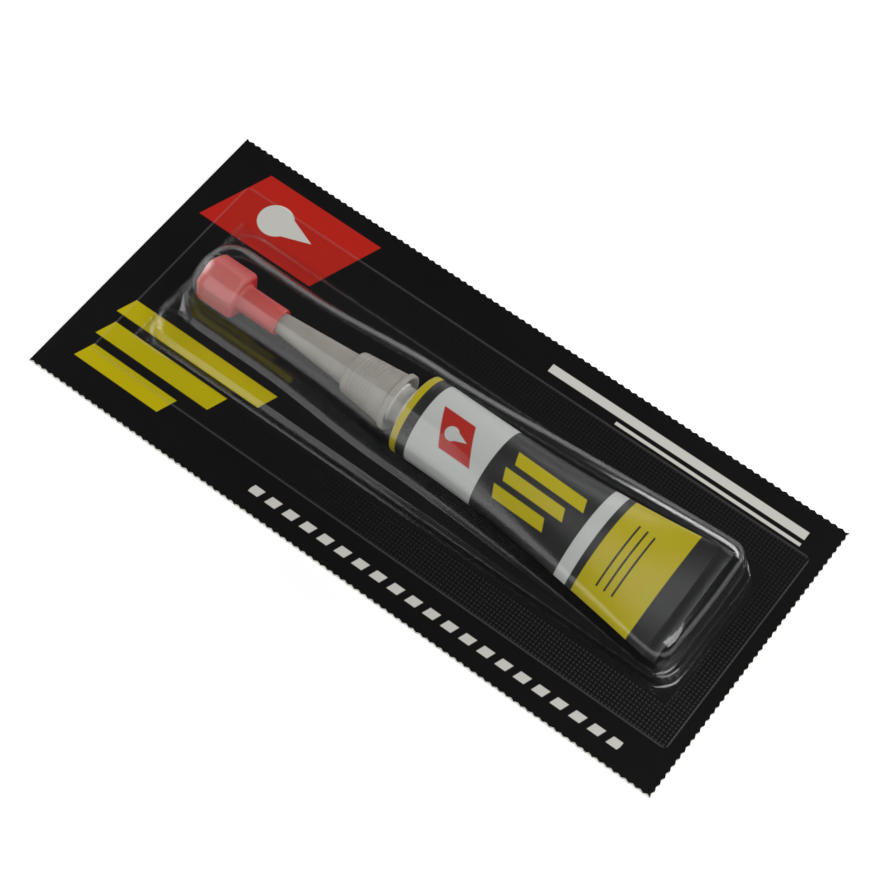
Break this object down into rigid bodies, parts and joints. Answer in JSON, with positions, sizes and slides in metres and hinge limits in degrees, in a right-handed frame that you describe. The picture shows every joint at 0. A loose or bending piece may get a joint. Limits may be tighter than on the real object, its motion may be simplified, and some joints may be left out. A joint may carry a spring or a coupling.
{
  "type": "super glue tube in a blister pack",
  "caption": "Collapsible aluminium glue tube with screw-on nozzle and push-on cap, lying under a clear peel-open blister sealed to a backing card",
  "frame": {"origin": "middle of the backing card's underside", "axes": "+X along the tube from its cap to its folded tail, +Y across the card, +Z out of the card's printed face"},
  "size_m": [0.12, 0.055, 0.0149],
  "materials": {
    "card": "printed coated paperboard",
    "clear_film": "clear thermoformed film",
    "tube_metal": "enamelled and printed aluminium",
    "seal_latex": "dried latex",
    "adhesive": "clear liquid",
    "nozzle_plastic": "natural translucent polyethylene",
    "cap_plastic": "translucent red polyethylene"
  },
  "bodies": {
    "card": {"backing_card": "card"},
    "blister": {"blister_shell": "clear_film"},
    "tube": {"tube_shell": "tube_metal", "end_seal": "seal_latex", "adhesive": "adhesive"},
    "nozzle": {"nozzle": "nozzle_plastic"},
    "cap": {"cap": "cap_plastic"}
  },
  "joints": [
    {"name": "blister_peel", "type": "hinge", "parent": "card", "child": "blister", "pos_m": [0.0576, 0, 0.00075], "axis": [0, 1, 0], "range_deg": [0, 110], "deforming": ["blister_shell"]},
    {"name": "tube_lift", "type": "slide", "parent": "card", "child": "tube", "axis": [0, 0, 1], "range_m": [0, 0.04]},
    {"name": "nozzle_turn", "type": "hinge", "parent": "tube", "child": "nozzle", "pos_m": [-0.01, -0.0006, 0.00736], "axis": [1, 0, 0], "range_deg": [-990, 810]},
    {"name": "cap_pull", "type": "slide", "parent": "nozzle", "child": "cap", "axis": [-1, 0, 0], "range_m": [0, 0.025]}
  ]
}
